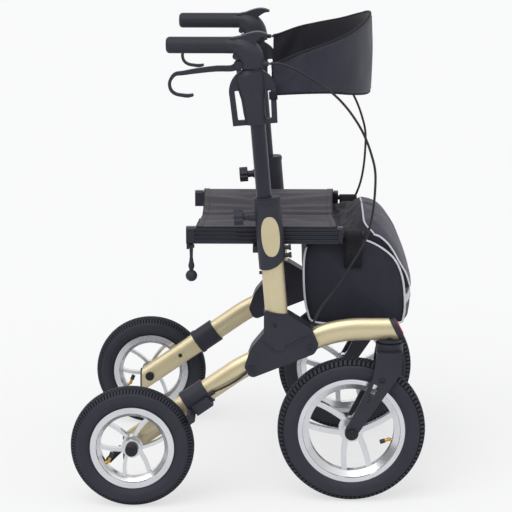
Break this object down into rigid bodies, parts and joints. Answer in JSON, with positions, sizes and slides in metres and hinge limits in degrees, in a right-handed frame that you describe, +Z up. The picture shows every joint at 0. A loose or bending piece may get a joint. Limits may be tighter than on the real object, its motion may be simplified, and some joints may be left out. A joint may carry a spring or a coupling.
{
  "type": "all terrain rollator",
  "caption": "Folding walking frame on air tyres, with swivelling front casters, height-adjustable brake handles, a sling seat, a front bag and a curved backrest band.",
  "frame": {"origin": "on the floor, under the middle of the bounding box", "axes": "+X forward, +Y to the user's left, +Z up"},
  "size_m": [0.7284, 0.6468, 0.9864],
  "materials": {
    "gold": "champagne metallic satin",
    "plastic": "matte moulded",
    "dark_metal": "black anodised satin",
    "dark_steel": "blackened",
    "steel": "plated",
    "rim": "satin silver",
    "tyre": "matte with a block tread",
    "rubber": "matte",
    "cable": "smooth sheath",
    "cloth": "woven nylon",
    "bag_cloth": "woven nylon with piping"
  },
  "bodies": {
    "right_frame": {"right_beam": "gold", "right_rear_leg": "gold", "right_rear_plug": "plastic", "right_leg_sleeve": "plastic", "right_post": "gold", "right_collar": "plastic", "right_collar_inlay": "gold", "right_bracket_outer": "plastic", "right_bracket_inner": "plastic", "right_front_cap": "plastic", "right_fasteners": "dark_steel", "right_brake_cable": "cable"},
    "left_frame": {"left_beam": "gold", "left_rear_leg": "gold", "left_rear_plug": "plastic", "left_leg_sleeve": "plastic", "left_post": "gold", "left_collar": "plastic", "left_collar_inlay": "gold", "left_bracket_outer": "plastic", "left_bracket_inner": "plastic", "left_front_cap": "plastic", "left_fasteners": "dark_steel", "left_brake_cable": "cable"},
    "rear_bar": {"rear_cross_bar": "dark_metal", "cross_bolt": "steel"},
    "front_bar": {"front_cross_bar": "dark_metal"},
    "right_seat": {"right_seat_rail": "dark_metal", "seat_cloth": "cloth", "bag": "bag_cloth"},
    "left_seat": {"left_seat_rail": "dark_metal"},
    "fold_strap": {"fold_strap": "rubber"},
    "right_handle": {"right_handle_tube": "dark_metal", "right_yoke": "plastic", "right_handle_housing": "plastic", "right_grip": "rubber", "backrest_band": "bag_cloth"},
    "right_lever": {"right_brake_lever": "plastic"},
    "right_knob": {"right_clamp_knob": "plastic"},
    "right_fork": {"right_fork": "plastic", "right_fork_hardware": "dark_steel"},
    "right_front_wheel": {"right_front_rim": "rim", "right_front_tyre": "tyre"},
    "right_rear_wheel": {"right_rear_rim": "rim", "right_rear_tyre": "tyre"},
    "right_brake": {"right_brake_shoe": "rubber"},
    "left_handle": {"left_handle_tube": "dark_metal", "left_yoke": "plastic", "left_handle_housing": "plastic", "left_grip": "rubber"},
    "left_lever": {"left_brake_lever": "plastic"},
    "left_knob": {"left_clamp_knob": "plastic"},
    "left_fork": {"left_fork": "plastic", "left_fork_hardware": "dark_steel"},
    "left_front_wheel": {"left_front_rim": "rim", "left_front_tyre": "tyre"},
    "left_rear_wheel": {"left_rear_rim": "rim", "left_rear_tyre": "tyre"},
    "left_brake": {"left_brake_shoe": "rubber"}
  },
  "joints": [
    {"name": "fold", "type": "hinge", "parent": "right_frame", "child": "rear_bar", "pos_m": [0.0514, -0.198, 0.33037], "axis": [1, 0, 0], "range_deg": [0, 48], "deforming": ["seat_cloth", "bag", "backrest_band"]},
    {"name": "brace_cross", "type": "hinge", "parent": "rear_bar", "child": "front_bar", "pos_m": [0.0514, 0, 0.42537], "axis": [1, 0, 0], "range_deg": [-96, 0]},
    {"name": "left_frame_fold", "type": "hinge", "parent": "front_bar", "child": "left_frame", "pos_m": [0.0514, 0.198, 0.33037], "axis": [1, 0, 0], "range_deg": [0, 48]},
    {"name": "left_rail_level", "type": "hinge", "parent": "rear_bar", "child": "left_seat", "pos_m": [0.0514, 0.198, 0.52037], "axis": [1, 0, 0], "range_deg": [-48, 0]},
    {"name": "right_rail_level", "type": "hinge", "parent": "front_bar", "child": "right_seat", "pos_m": [0.0514, -0.198, 0.52037], "axis": [1, 0, 0], "range_deg": [0, 48]},
    {"name": "strap_swing", "type": "hinge", "parent": "right_seat", "child": "fold_strap", "pos_m": [-0.11825, -0.198, 0.52737], "axis": [1, 0, 0], "range_deg": [-80, 80]},
    {"name": "right_handle_height", "type": "slide", "parent": "right_frame", "child": "right_handle", "axis": [-0.0837, 0, 0.9965], "range_m": [-0.12, 0.03], "deforming": ["right_brake_cable"]},
    {"name": "right_lever_pull", "type": "hinge", "parent": "right_handle", "child": "right_lever", "pos_m": [-0.01923, -0.243, 0.90543], "axis": [0, 1, 0], "range_deg": [-25, 12], "stiffness_Nm_per_rad": 3},
    {"name": "right_knob_turn", "type": "hinge", "parent": "right_frame", "child": "right_knob", "pos_m": [0.04246, -0.243, 0.60237], "axis": [0.9965, 0, 0.0837], "continuous": true},
    {"name": "right_caster_swivel", "type": "hinge", "parent": "right_frame", "child": "right_fork", "pos_m": [0.28775, -0.243, 0.3375], "axis": [0, 0, 1], "continuous": true},
    {"name": "right_front_wheel_spin", "type": "hinge", "parent": "right_fork", "child": "right_front_wheel", "pos_m": [0.21175, -0.243, 0.1525], "axis": [0, 1, 0], "continuous": true},
    {"name": "right_rear_wheel_spin", "type": "hinge", "parent": "right_frame", "child": "right_rear_wheel", "pos_m": [-0.23725, -0.285, 0.127], "axis": [0, 1, 0], "continuous": true},
    {"name": "right_brake_press", "type": "slide", "parent": "right_frame", "child": "right_brake", "axis": [-0.8192, 0, -0.5736], "range_m": [0, 0.0025], "stiffness_N_per_m": 2000},
    {"name": "left_handle_height", "type": "slide", "parent": "left_frame", "child": "left_handle", "axis": [-0.0837, 0, 0.9965], "range_m": [-0.12, 0.03], "deforming": ["left_brake_cable"]},
    {"name": "left_lever_pull", "type": "hinge", "parent": "left_handle", "child": "left_lever", "pos_m": [-0.01923, 0.243, 0.90543], "axis": [0, 1, 0], "range_deg": [-25, 12], "stiffness_Nm_per_rad": 3},
    {"name": "left_knob_turn", "type": "hinge", "parent": "left_frame", "child": "left_knob", "pos_m": [0.04246, 0.243, 0.60237], "axis": [0.9965, 0, 0.0837], "continuous": true},
    {"name": "left_caster_swivel", "type": "hinge", "parent": "left_frame", "child": "left_fork", "pos_m": [0.28775, 0.243, 0.3375], "axis": [0, 0, 1], "continuous": true},
    {"name": "left_front_wheel_spin", "type": "hinge", "parent": "left_fork", "child": "left_front_wheel", "pos_m": [0.21175, 0.243, 0.1525], "axis": [0, 1, 0], "continuous": true},
    {"name": "left_rear_wheel_spin", "type": "hinge", "parent": "left_frame", "child": "left_rear_wheel", "pos_m": [-0.23725, 0.285, 0.127], "axis": [0, 1, 0], "continuous": true},
    {"name": "left_brake_press", "type": "slide", "parent": "left_frame", "child": "left_brake", "axis": [-0.8192, 0, -0.5736], "range_m": [0, 0.0025], "stiffness_N_per_m": 2000}
  ],
  "couplings": [
    {"joint": "brace_cross", "follows": "fold", "ratio": -2},
    {"joint": "left_frame_fold", "follows": "fold", "ratio": 1},
    {"joint": "left_rail_level", "follows": "fold", "ratio": -1},
    {"joint": "right_rail_level", "follows": "fold", "ratio": 1},
    {"joint": "left_handle_height", "follows": "right_handle_height", "ratio": 1}
  ]
}
